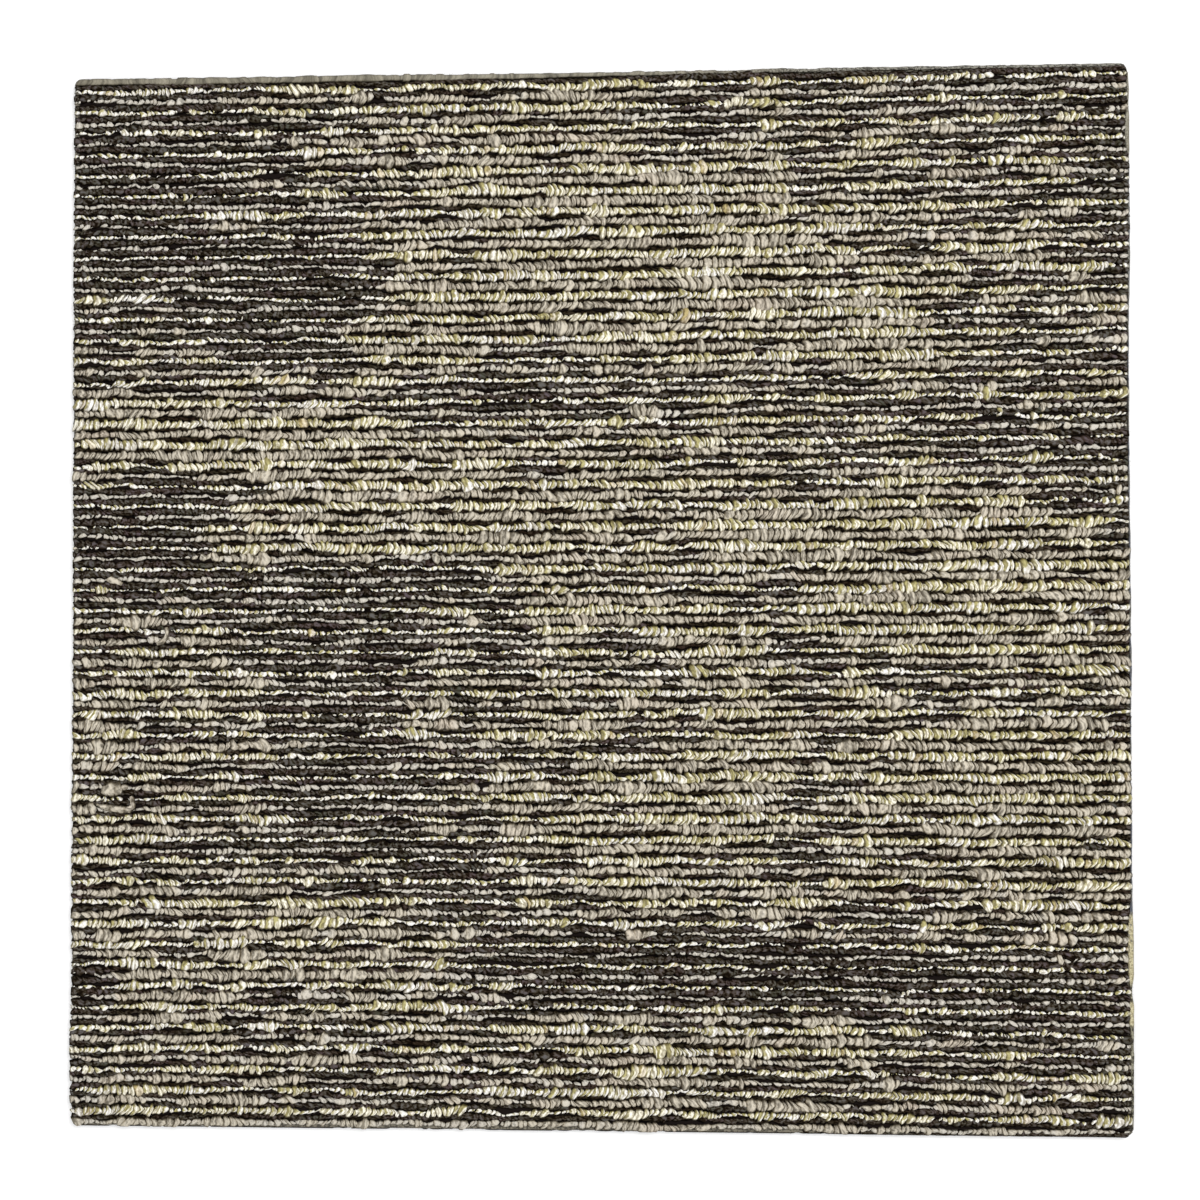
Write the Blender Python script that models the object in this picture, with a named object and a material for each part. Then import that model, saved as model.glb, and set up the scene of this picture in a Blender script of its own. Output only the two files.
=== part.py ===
"""A square carpet tile: a tufted loop pile bonded on a heavy moulded backing.

The tile lies flat. The rows of loops run along X and follow each other along Y, and the pile faces +Z.
The origin is at the middle of the underside. All lengths are in metres.
"""

import math

import bmesh
import bpy

# Tile outline
TILE_LENGTH = 0.500  # along the rows of loops
TILE_WIDTH = 0.500  # across the rows of loops
CORNER_RADIUS = 0.003  # where the knife rounds the tile's corners
CORNER_STEPS = 6

# Backing
BACKING_THICKNESS = 0.0026
BOND_CLEARANCE = 0.0003  # the film of adhesive between the backing and the pile

# Pile: rows of low and high loops standing on the stitch layer that they are tufted through
NEEDLE_GAUGE = 0.002475  # from one row of loops to the next
STITCH_LAYER = 0.0007
LIGHT_ROW_WIDTH = 0.0029  # the beige and cream rows; the charcoal rows fill the rest
LIGHT_LOOP_HEIGHT = 0.0029
CHARCOAL_LOOP_HEIGHT = 0.0023
VALLEY_HEIGHT = 0.0010  # where two neighbouring rows meet
ROW_ARC_STEPS = 4

# How far a blank runs past the outline that trims it
TRIM_OVERSHOOT = 0.002


def clear_scene():
    for obj in list(bpy.data.objects):
        bpy.data.objects.remove(obj, do_unlink=True)


def material(name, colour, roughness):
    """A plain Principled surface with no metal in it."""
    made = bpy.data.materials.new(name)
    made.use_nodes = True
    shader = made.node_tree.nodes["Principled BSDF"]
    shader.inputs["Base Color"].default_value = (*colour, 1.0)
    shader.inputs["Roughness"].default_value = roughness
    shader.inputs["Metallic"].default_value = 0.0
    return made


def extruded(name, outline, direction):
    """A closed prism: the flat outline, a list of points, swept by direction."""
    bm = bmesh.new()
    face = bm.faces.new([bm.verts.new(point) for point in outline])
    swept = bmesh.ops.extrude_face_region(bm, geom=[face])["geom"]
    bmesh.ops.translate(
        bm,
        verts=[item for item in swept if isinstance(item, bmesh.types.BMVert)],
        vec=direction,
    )
    bmesh.ops.recalc_face_normals(bm, faces=bm.faces)
    mesh = bpy.data.meshes.new(name)
    bm.to_mesh(mesh)
    bm.free()
    obj = bpy.data.objects.new(name, mesh)
    bpy.context.scene.collection.objects.link(obj)
    return obj


def tile_outline(z):
    """The tile's rectangle with round corners, anticlockwise from its right side, at height z."""
    points = []
    for quarter in range(4):
        start = quarter * math.pi / 2
        middle = start + math.pi / 4
        centre_x = math.copysign(TILE_LENGTH / 2 - CORNER_RADIUS, math.cos(middle))
        centre_y = math.copysign(TILE_WIDTH / 2 - CORNER_RADIUS, math.sin(middle))
        for step in range(CORNER_STEPS + 1):
            angle = start + step / CORNER_STEPS * math.pi / 2
            x = centre_x + CORNER_RADIUS * math.cos(angle)
            y = centre_y + CORNER_RADIUS * math.sin(angle)
            points.append((x, y, z))
    return points


def row_arc(centre, width, base, height):
    """One row's rounded section, (y, z) points from its left foot up to just before its right foot."""
    points = []
    for step in range(ROW_ARC_STEPS):
        angle = math.pi * step / ROW_ARC_STEPS
        y = centre - width / 2 * math.cos(angle)
        z = base + height * math.sin(angle)
        points.append((y, z))
    return points


def pile_section(floor, x):
    """The pile's section across the rows at x: a flat underside at floor, and a row of arcs on top.

    Light and charcoal rows take turns, with a light row at each side of the tile.
    """
    light_rows = max(1, round(TILE_WIDTH / (2 * NEEDLE_GAUGE)))
    pair_pitch = TILE_WIDTH / light_rows
    charcoal_row_width = pair_pitch - LIGHT_ROW_WIDTH
    valley = floor + STITCH_LAYER + VALLEY_HEIGHT
    light_rise = LIGHT_LOOP_HEIGHT - VALLEY_HEIGHT
    charcoal_rise = CHARCOAL_LOOP_HEIGHT - VALLEY_HEIGHT
    left = -TILE_WIDTH / 2
    section = [(left - TRIM_OVERSHOOT, floor), (left - TRIM_OVERSHOOT, valley)]
    for row in range(light_rows):
        centre = left + (row + 0.5) * pair_pitch
        section += row_arc(centre, LIGHT_ROW_WIDTH, valley, light_rise)
        seam = centre + pair_pitch / 2
        if row < light_rows - 1:
            section += row_arc(seam, charcoal_row_width, valley, charcoal_rise)
        else:
            section.append((centre + LIGHT_ROW_WIDTH / 2, valley))
    right = TILE_WIDTH / 2 + TRIM_OVERSHOOT
    section += [(right, valley), (right, floor)]
    return [(x, y, z) for y, z in section]


def make_backing():
    """The plain moulded slab that keeps the tile flat."""
    backing = extruded("backing", tile_outline(0.0), (0, 0, BACKING_THICKNESS))
    backing.data.materials.append(material("backing_charcoal", (0.045, 0.045, 0.047), 0.85))


def make_pile():
    """The loop pile: rows swept along X, trimmed to the tile's outline."""
    floor = BACKING_THICKNESS + BOND_CLEARANCE
    start = -TILE_LENGTH / 2 - TRIM_OVERSHOOT
    swept_length = TILE_LENGTH + 2 * TRIM_OVERSHOOT
    pile = extruded("pile", pile_section(floor, start), (swept_length, 0, 0))
    pile.data.materials.append(material("pile_taupe", (0.20, 0.18, 0.14), 0.95))

    tallest = STITCH_LAYER + max(LIGHT_LOOP_HEIGHT, CHARCOAL_LOOP_HEIGHT)
    trim = extruded(
        "pile_trim",
        tile_outline(floor - TRIM_OVERSHOOT),
        (0, 0, tallest + 2 * TRIM_OVERSHOOT),
    )
    trim.hide_render = True
    trim.display_type = "WIRE"

    cut = pile.modifiers.new("Trim to outline", "BOOLEAN")
    cut.operation = "INTERSECT"
    cut.solver = "EXACT"
    cut.object = trim


def main():
    clear_scene()
    make_backing()
    make_pile()


main()
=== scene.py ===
"""The looks of a square carpet tile: a loop pile in three yarns on a moulded backing.

The rows of loops run along X. Counted from the far edge, every other row is charcoal, and the rows between
them are beige and cream in turn. Where the charcoal loops stand tall the light rows sink between them, and
where the light loops stand tall they hide the charcoal, which gives the tile its dark and light patches.
Lengths are in metres where no comment says millimetres.
"""

import math
from dataclasses import dataclass, replace
from functools import partial

import bpy
import numpy as np
from mathutils import Matrix, Vector


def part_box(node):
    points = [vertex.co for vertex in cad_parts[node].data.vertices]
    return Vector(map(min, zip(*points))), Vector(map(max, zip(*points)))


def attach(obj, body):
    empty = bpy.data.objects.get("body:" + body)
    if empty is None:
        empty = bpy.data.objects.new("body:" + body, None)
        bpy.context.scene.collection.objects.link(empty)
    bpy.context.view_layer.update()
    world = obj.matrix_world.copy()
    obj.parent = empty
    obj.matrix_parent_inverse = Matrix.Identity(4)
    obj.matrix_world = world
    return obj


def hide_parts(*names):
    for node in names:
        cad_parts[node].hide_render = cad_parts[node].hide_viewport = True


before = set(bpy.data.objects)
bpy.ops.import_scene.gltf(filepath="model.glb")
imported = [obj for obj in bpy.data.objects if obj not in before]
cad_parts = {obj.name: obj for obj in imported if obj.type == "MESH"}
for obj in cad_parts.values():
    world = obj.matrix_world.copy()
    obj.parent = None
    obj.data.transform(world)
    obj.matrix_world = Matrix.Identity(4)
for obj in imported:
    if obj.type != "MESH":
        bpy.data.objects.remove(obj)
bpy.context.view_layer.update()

MM = 0.001

# Where the solids end, from the frame
BACKING_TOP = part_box("backing")[1][2]
PILE_LOW, PILE_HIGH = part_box("pile")
HALF_LENGTH = PILE_HIGH[0]
HALF_WIDTH = PILE_HIGH[1]

# Rows of loops
LIGHT_ROWS = 101
PAIR_PITCH = 2 * HALF_WIDTH / LIGHT_ROWS
STITCH_TOP = PILE_LOW[2] + 0.7 * MM
ROW_FOOT = STITCH_TOP - 0.25 * MM  # where the loops' feet sink into the stitch layer
CORNER_RADIUS = 3.4 * MM
LAST_ROW_SHIFT = 0.6 * MM  # the row along the near edge leans out over it
OVERHANG = 0.5 * MM  # how far loops may hang over the tile's edge
BURIED = -0.6  # how tall a row stands where it doesn't show, on the scale from 0 to 1 of the other rows
ROW_PIECES = 3  # how many pieces each yarn's rows are shared among
SEED = 8

# How far past the far edge rows may reach. Charcoal ends short of it, so that the first row shows past it
LIGHT_FAR_REACH = 0.625 * MM
CHARCOAL_FAR_REACH = -0.75 * MM
FIRST_ROW_INSET = 0.35 * MM  # how far inside the far edge the middle of a row has to stay
FAR_EDGE_WAVES = (2.1 * MM, 5.3 * MM)  # the reach varies with the product of two sines

# How rubbed the first and the last light row are, from 0 to 1. At 1 a row has hardly any lumps and creases
FIRST_ROW_FUZZ = 1.0
LAST_ROW_FUZZ = 0.15

# The extra charcoal row along the near edge: where along X it comes up, and how tall it then stands
RIM_BURIED = 90 * MM
RIM_TALL = 140 * MM
RIM_STAND = 0.5

# Where a loop is pulled out and leaves a dark hole: centre x and y, half width and half height, all in
# millimetres
HOLES = (
    (-218.6, -98.0, 3.2, 3.4),
    (-209.6, -16.4, 2.4, 2.4),
)

# The strip of cut yarn and cloth along the right edge. Where it is wider or narrower: centre and half length
# along Y, and how much further it reaches in between the rows and out over the edge
STRIP_WIDTH = 0.75 * MM
STRIP_BULGES = (
    (196 * MM, 58 * MM, -0.4 * MM, 0.8 * MM),
    (219 * MM, 9 * MM, 1.2 * MM, 0.0 * MM),
    (-50 * MM, 90 * MM, -0.2 * MM, 0.3 * MM),
    (-163 * MM, 18 * MM, 1.5 * MM, 0.6 * MM),
    (-193 * MM, 7 * MM, 1.0 * MM, 0.6 * MM),
    (-211 * MM, 13 * MM, 0.5 * MM, 0.6 * MM),
    (-235 * MM, 14 * MM, 0.1 * MM, 0.4 * MM),
)
# Where the rows hang over the left edge: centre, half length along Y, and how far
LEFT_BULGES = (
    (-218 * MM, 26 * MM, 0.9 * MM),
    (-130 * MM, 60 * MM, 0.4 * MM),
    (150 * MM, 80 * MM, 0.2 * MM),
)

# A row's section. across: its points from one side over the crown to the other side, and last the foot.
# high: how high each stands. Both are shares of the half width and the height
LIGHT_SECTION = {"across": (-1.0, -0.62, 0.0, 0.62, 1.0, 0.0), "high": (0.45, 0.88, 1.0, 0.88, 0.45, 0.0)}
CHARCOAL_SECTION = {"across": (-1.0, 0.0, 1.0, 0.0), "high": (0.55, 1.0, 0.55, 0.0)}

# The tile's dark and light patches: centre x and y, half width and half height in millimetres, and tone,
# from -1 where charcoal covers everything to 1 where the light yarns do. Tones add up where patches overlap
PATCHES = (
    (-235, 215, 26, 34, -0.9), (-182, 214, 42, 32, -0.65), (-240, 243, 22, 10, -0.5),
    (-192, 158, 16, 20, -0.5), (-222, 176, 34, 26, -1.0), (-152, 137, 47, 29, -1.1),
    (-140, 172, 22, 26, -0.7), (-235, 127, 16, 12, -0.5), (-245, 160, 8, 14, -0.6),
    (-40, 97, 50, 9, -0.72), (-56, 138, 30, 14, 0.5), (-94, 112, 14, 10, -0.35),
    (-56, 110, 12, 8, -0.35), (90, 103, 90, 7, -0.4), (-218, 30, 38, 32, -0.9),
    (-128, 7, 68, 13, -0.9), (-132, -26, 52, 24, -0.6), (-108, 26, 16, 10, 0.8),
    (58, 38, 16, 12, 0.35), (6, 52, 14, 12, 0.5), (-70, 70, 20, 16, 0.3),
    (80, 22, 16, 12, 0.35), (60, -46, 16, 12, 0.35), (126, 4, 18, 12, 0.4),
    (24, -8, 16, 10, 0.35), (66, 74, 16, 10, 0.3), (22, 16, 24, 10, 0.45),
    (-16, -14, 14, 12, 0.35), (112, 92, 16, 10, 0.35), (-124, -76, 32, 42, -0.85),
    (-12, -92, 36, 30, -0.15), (-72, -132, 22, 22, -0.9), (-38, -24, 26, 12, -0.5),
    (45, -173, 124, 19, -0.9), (192, -184, 50, 24, -0.9), (240, 196, 18, 30, -0.75),
    (180, 205, 40, 22, -0.4), (158, 214, 12, 10, 0.35), (110, 222, 34, 18, -0.3),
    (222, 236, 30, 15, -0.4), (178, 82, 80, 22, -0.45), (238, 74, 20, 20, -0.6),
    (238, 108, 18, 14, -0.4), (-242, -187, 15, 21, -1.0), (243, 242, 9, 6, -0.7),
    (46, 221, 26, 17, -0.85), (-50, 238, 24, 12, 0.4), (134, 212, 16, 14, 0.4),
    (76, 200, 18, 12, -0.3), (18, 186, 16, 10, -0.25), (14, 150, 24, 12, 0.4),
    (70, 160, 30, 24, 0.35), (30, 132, 16, 10, 0.35), (104, 196, 12, 14, -0.3),
    (118, 172, 18, 20, 0.4), (-66, 157, 14, 18, -0.4), (198, 130, 42, 14, -0.3),
    (164, 152, 16, 14, 0.3), (100, 12, 22, 9, -0.3), (150, -40, 30, 10, -0.3),
    (194, -126, 20, 12, 0.2), (98, -120, 20, 12, -0.4), (210, -226, 50, 16, -0.35),
    (-130, -233, 16, 10, -0.5), (36, 168, 62, 46, 0.9), (-44, 185, 46, 34, 0.35),
    (126, 130, 40, 26, 0.6), (-216, 81, 38, 16, 0.7), (-235, -42, 24, 24, 0.15),
    (-226, -60, 16, 12, 0.5), (-222, -20, 12, 16, 0.3), (-176, -98, 12, 20, 0.45),
    (-244, -30, 8, 20, -0.4), (-180, -46, 14, 18, -0.3), (-218, -110, 18, 10, 0.9),
    (0, 64, 26, 16, 0.15), (232, 30, 16, 14, -0.35), (196, -44, 26, 16, -0.5),
    (178, -72, 16, 12, 0.35), (106, -50, 16, 16, -0.25), (75, -32, 24, 16, 0.4),
    (-132, 74, 42, 20, 0.8), (-104, 36, 46, 14, 0.5), (-38, 36, 16, 14, 0.7),
    (134, 28, 92, 26, 0.6), (168, -12, 54, 20, 0.6), (52, -12, 22, 14, 0.7),
    (56, -90, 30, 26, 0.85), (16, -124, 28, 18, 0.6), (206, -92, 50, 60, 0.45),
    (-236, -126, 18, 24, 0.1), (-205, -95, 40, 40, -0.1), (-224, -94, 17, 10, -0.7),
    (-212, -14, 14, 8, -0.6), (-150, -172, 80, 28, 0.05), (-170, -132, 24, 20, -0.25),
    (-200, -226, 34, 18, -0.4), (2, -130, 18, 13, -0.45), (-50, -146, 18, 10, -0.4),
    (-156, -186, 16, 10, -0.35), (-62, -106, 10, 14, 0.35), (168, -130, 14, 12, -0.25),
    (-58, -205, 12, 34, -0.4), (-134, -204, 22, 12, 0.2), (-82, -168, 18, 12, 0.35),
    (20, -222, 44, 22, 0.1), (68, -224, 18, 12, -0.3), (-68, -240, 30, 10, -0.3),
    (-92, 126, 22, 14, 0.5), (-40, 150, 44, 16, 0.4), (36, 91, 16, 12, -0.3),
    (186, 216, 12, 16, -0.4), (-154, 69, 12, 10, -0.3), (-36, -20, 14, 10, -0.35),
    (16, -207, 16, 14, -0.3), (243, 120, 8, 16, -0.35), (236, -207, 12, 12, -0.3),
    (-244, 114, 8, 10, 0.4), (130, 23, 14, 12, 0.3), (-195, -235, 12, 10, 0.4),
    (130, -135, 14, 12, 0.3), (-5, 226, 45, 18, 0.25), (205, 212, 45, 34, 0.22),
    (-96, -96, 44, 40, -0.2), (-98, 2, 44, 36, -0.15), (-100, -205, 44, 30, -0.13),
    (202, -205, 44, 32, -0.15), (100, -218, 40, 24, 0.18), (-216, 150, 18, 8, -0.8),
    (24, -33, 16, 12, -0.4), (-154, -105, 14, 10, -0.45), (-34, -128, 12, 10, -0.4),
    (78, -142, 14, 8, -0.35), (168, 236, 14, 10, -0.4), (97, 186, 10, 14, -0.35),
    (-174, 242, 10, 8, 0.5), (163, 144, 14, 12, 0.35), (-51, -41, 12, 10, 0.4),
    (-90, -203, 16, 12, 0.6), (52, -238, 14, 8, 0.5), (-224, 65, 18, 12, 0.4),
    (238, -144, 14, 12, 0.6), (200, -72, 16, 10, 0.3), (-10, -107, 14, 12, 0.8),
    (54, -5, 12, 10, 0.4), (-20, 146, 50, 10, 0.3), (88, 91, 14, 8, 0.4),
    (-24, 30, 14, 10, 0.5), (-245, -84, 6, 12, -0.6), (-242, -234, 8, 10, -0.6),
    (-131, -186, 16, 12, -0.4), (-138, -124, 20, 10, -0.4), (50, 208, 18, 6, -0.4),
    (190, -190, 40, 16, -0.3), (-194, 152, 14, 12, -0.5), (-85, 33, 14, 10, -0.4),
    (104, -31, 14, 12, -0.35), (-245, 8, 6, 14, -0.5), (92, -218, 14, 16, -0.4),
    (187, 190, 16, 16, -0.35), (-161, 172, 14, 8, 0.4), (54, 178, 12, 12, 0.4),
    (213, 88, 16, 14, 0.35), (-36, -207, 14, 12, 0.4), (-138, -79, 16, 12, 0.4),
    (236, -164, 14, 12, -0.4), (-218, -10, 13, 2.4, 1.6),
)

# Random runs of taller and lower loops over the patches: how far they reach along a row, in steps of the
# pattern, and across the rows, in rows, and their share
RUNS = (
    (4.5, 0.45, 0.46),
    (1.6, 0.0, 0.26),
    (9.0, 1.6, 0.18),
)
PATTERN_STEP = 1.0 * MM
PATTERN_MARGIN = 5 * MM
TONE_LIMIT = 1.1
TONE_OFFSET = 0.04
TONE_SHARE = 1.26
TONE_CALM = 0.40  # how much weaker the runs are inside a patch of full tone


@dataclass
class Yarn:
    """How the loops of one yarn lie. Each pair is for a row at its lowest and at its tallest."""

    name: str
    slot: str
    loop_length: float
    length_spread: float
    half_width: tuple
    height: tuple
    size_spread: tuple
    crease_height: tuple  # share of the crown's height that the deepest crease leaves
    crease_width: tuple  # and of its width
    shallow: float  # how deep the shallowest crease is, as a share of the deepest
    bow: float  # how far each loop bulges along the row
    slant: float  # how far one side of a loop lies ahead of its middle
    jitter: float  # how far the loops stand off the row's line
    far_reach: float  # how far its rows may reach past the far edge
    section: dict
    steps: tuple  # the rings along each loop, as shares of its length; the first is the crease


BEIGE = Yarn(
    name="beige_rows",
    slot="beige_yarn",
    loop_length=2.85 * MM,
    length_spread=0.34,
    half_width=(1.08 * MM, 2.35 * MM),
    height=(1.85 * MM, 2.80 * MM),
    size_spread=(0.35, 0.29),
    crease_height=(0.24, 0.42),
    crease_width=(0.34, 0.56),
    shallow=0.0,
    bow=0.90 * MM,
    slant=0.80 * MM,
    jitter=0.26 * MM,
    far_reach=LIGHT_FAR_REACH,
    section=LIGHT_SECTION,
    steps=(0.0, 0.32, 0.70),
)
CREAM = replace(
    BEIGE,
    name="cream_rows",
    slot="cream_yarn",
    loop_length=2.50 * MM,
    half_width=(1.00 * MM, 2.35 * MM),
    height=(1.85 * MM, 2.85 * MM),
    size_spread=(0.35, 0.25),
    crease_height=(0.24, 0.40),
    crease_width=(0.32, 0.52),
    shallow=0.1,
    bow=0.95 * MM,
    jitter=0.28 * MM,
)
CHARCOAL = Yarn(
    name="charcoal_rows",
    slot="charcoal_yarn",
    loop_length=3.1 * MM,
    length_spread=0.30,
    half_width=(1.45 * MM, 1.95 * MM),
    height=(1.00 * MM, 2.55 * MM),
    size_spread=(0.20, 0.18),
    crease_height=(0.75, 0.66),
    crease_width=(0.85, 0.66),
    shallow=0.2,
    bow=0.50 * MM,
    slant=0.9 * MM,
    jitter=0.22 * MM,
    far_reach=CHARCOAL_FAR_REACH,
    section=CHARCOAL_SECTION,
    steps=(0.0, 0.60),
)


# How unevenly the loops of every yarn lie
ROW_START_SPREAD = (-0.3, 0.6)  # how far inside the left edge a row starts, in millimetres
ROW_END_SPREAD = (-0.15, 0.25)  # how far short of the edge strip it ends, in millimetres
LENGTH_LIMIT = 1.8  # how far off a loop's length may be, in spreads
STAND_SPREAD = 0.08
RUN_LUMPS = 0.60  # how much loops next to each other differ in size together
LOOP_LUMPS = 0.45  # each loop by itself
SIDE_LUMPS = 0.50  # and the two sides of a loop
LUMP_LIMITS = (-2, 1.7)
CREASE_BIAS = 0.8  # how much deeper a crease can be on one side than on the other
WANDER = 0.34 * MM
ROW_SLANT = 0.35
LOOP_SLANT = 0.9
LEAN = 0.10
LEFT_SHARE = 0.6  # how much of the overhang the left edge has


def smoothed(values, reach, axis=-1):
    """Values blurred along one axis, then brought back to a spread of one."""
    half = int(math.ceil(3 * reach))
    offsets = np.arange(-half, half + 1)
    kernel = np.exp(-(offsets**2) / (2 * reach**2))
    margins = [(0, 0)] * values.ndim
    margins[axis] = (half, half)
    padded = np.pad(values, margins, "wrap")
    blurred = np.apply_along_axis(lambda line: np.convolve(line, kernel, "valid"), axis, padded)
    return (blurred - blurred.mean()) / blurred.std()


def smoothstep(low, high, value):
    share = np.clip((value - low) / (high - low), 0.0, 1.0)
    return share * share * (3 - 2 * share)


def patch_tone(x, y):
    """The tone of the pattern at x and y, arrays of one shape, from about -1 to 1."""
    tone = np.zeros(np.broadcast(x, y).shape)
    for centre_x, centre_y, half_x, half_y, strength in PATCHES:
        across = (x / MM - centre_x) / half_x
        along = (y / MM - centre_y) / half_y
        tone += strength * np.exp(-((across**2 + along**2) ** 2))
    return np.clip(tone, -TONE_LIMIT, TONE_LIMIT)


def row_drift(x, y):
    """How far a row lies up from its even place at x, by a formula fitted to the photo.

    The rows fan out towards the far right corner, and bow one way in the near part and the other way in the
    far part.
    """
    s = x / HALF_LENGTH
    t = y / HALF_WIDTH
    bend = 2.0 * smoothstep(-0.55, 0.05, t) - 1.1
    everywhere = 0.2 - 0.3 * np.exp(-(((t - 0.1) / 0.3) ** 2)) + 3.0 * np.maximum(0, t - 0.3) ** 2
    return (everywhere + (0.62 + 0.5 * t) * s + bend * (s**2 - 0.33)) * MM


class Pattern:
    """How tall the light rows stand at each place, from 0 to 1, or less where a row is buried."""

    def __init__(self, rng):
        reach = HALF_LENGTH + PATTERN_MARGIN
        self.x = np.arange(-reach, reach, PATTERN_STEP)
        self.y = HALF_WIDTH - (np.arange(LIGHT_ROWS) + 0.5) * PAIR_PITCH
        runs = np.zeros((LIGHT_ROWS, len(self.x)))
        for along, across, share in RUNS:
            noise = smoothed(rng.standard_normal(runs.shape), along)
            if across:
                noise = smoothed(noise, across, axis=0)
            runs += share * noise
        where = self.y[:, None] + row_drift(self.x[None, :], self.y[:, None])
        tone = patch_tone(self.x[None, :], where)
        value = TONE_OFFSET + TONE_SHARE * tone + (1 - TONE_CALM * np.abs(tone)) * runs
        self.stand = smoothstep(-0.75, 0.75, value)
        # The first row sinks towards the right, and the last one is buried at the near right corner
        self.stand[0] = 0.5 - 0.6 * smoothstep(-130 * MM, 60 * MM, self.x)
        self.stand[-1] = 0.1 + 0.7 * self.stand[-1] - smoothstep(238 * MM, 245 * MM, self.x)

    def light(self, row, x):
        return np.interp(x, self.x, self.stand[row])

    def charcoal(self, seam, x):
        """The charcoal row below light row number seam stands tall where its neighbours don't."""
        beside = 0.5 * np.maximum(self.stand[seam] + self.stand[seam + 1], 0)
        return 1 - np.interp(x, self.x, beside)


def near_rim(x):
    """How tall the extra charcoal row along the near edge stands at x."""
    return BURIED * smoothstep(RIM_TALL, RIM_BURIED, x) + RIM_STAND * smoothstep(RIM_BURIED, RIM_TALL, x)


def edge_at(place, half, other_half):
    """How far the tile reaches at a place along its other side, because of its round corners."""
    past = np.clip(np.abs(place) - (other_half - CORNER_RADIUS), 0, CORNER_RADIUS)
    return half - CORNER_RADIUS + np.sqrt(np.maximum(CORNER_RADIUS**2 - past**2, 0))


def between(pair, share):
    return pair[0] + (pair[1] - pair[0]) * share


def side_shares(across):
    """How much of the first and of the second side each of a section's points takes."""
    second = (np.sign(across) + 1) / 2
    return np.stack([1 - second, second])


def row_ends(y, rng):
    """Where a row starts and ends along X."""
    farthest = HALF_WIDTH - 1.5 * MM
    left_y = float(np.clip(y + row_drift(-HALF_LENGTH, y), -farthest, farthest))
    left_edge = float(edge_at(left_y, HALF_LENGTH, HALF_WIDTH) + left_overhang(left_y))
    start = rng.uniform(*ROW_START_SPREAD) * MM - left_edge
    right_y = float(np.clip(y + row_drift(HALF_LENGTH, y), -farthest, farthest))
    end = float(edge_at(right_y, HALF_LENGTH, HALF_WIDTH)) - right_inset(right_y, rng)
    return start, end


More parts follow.
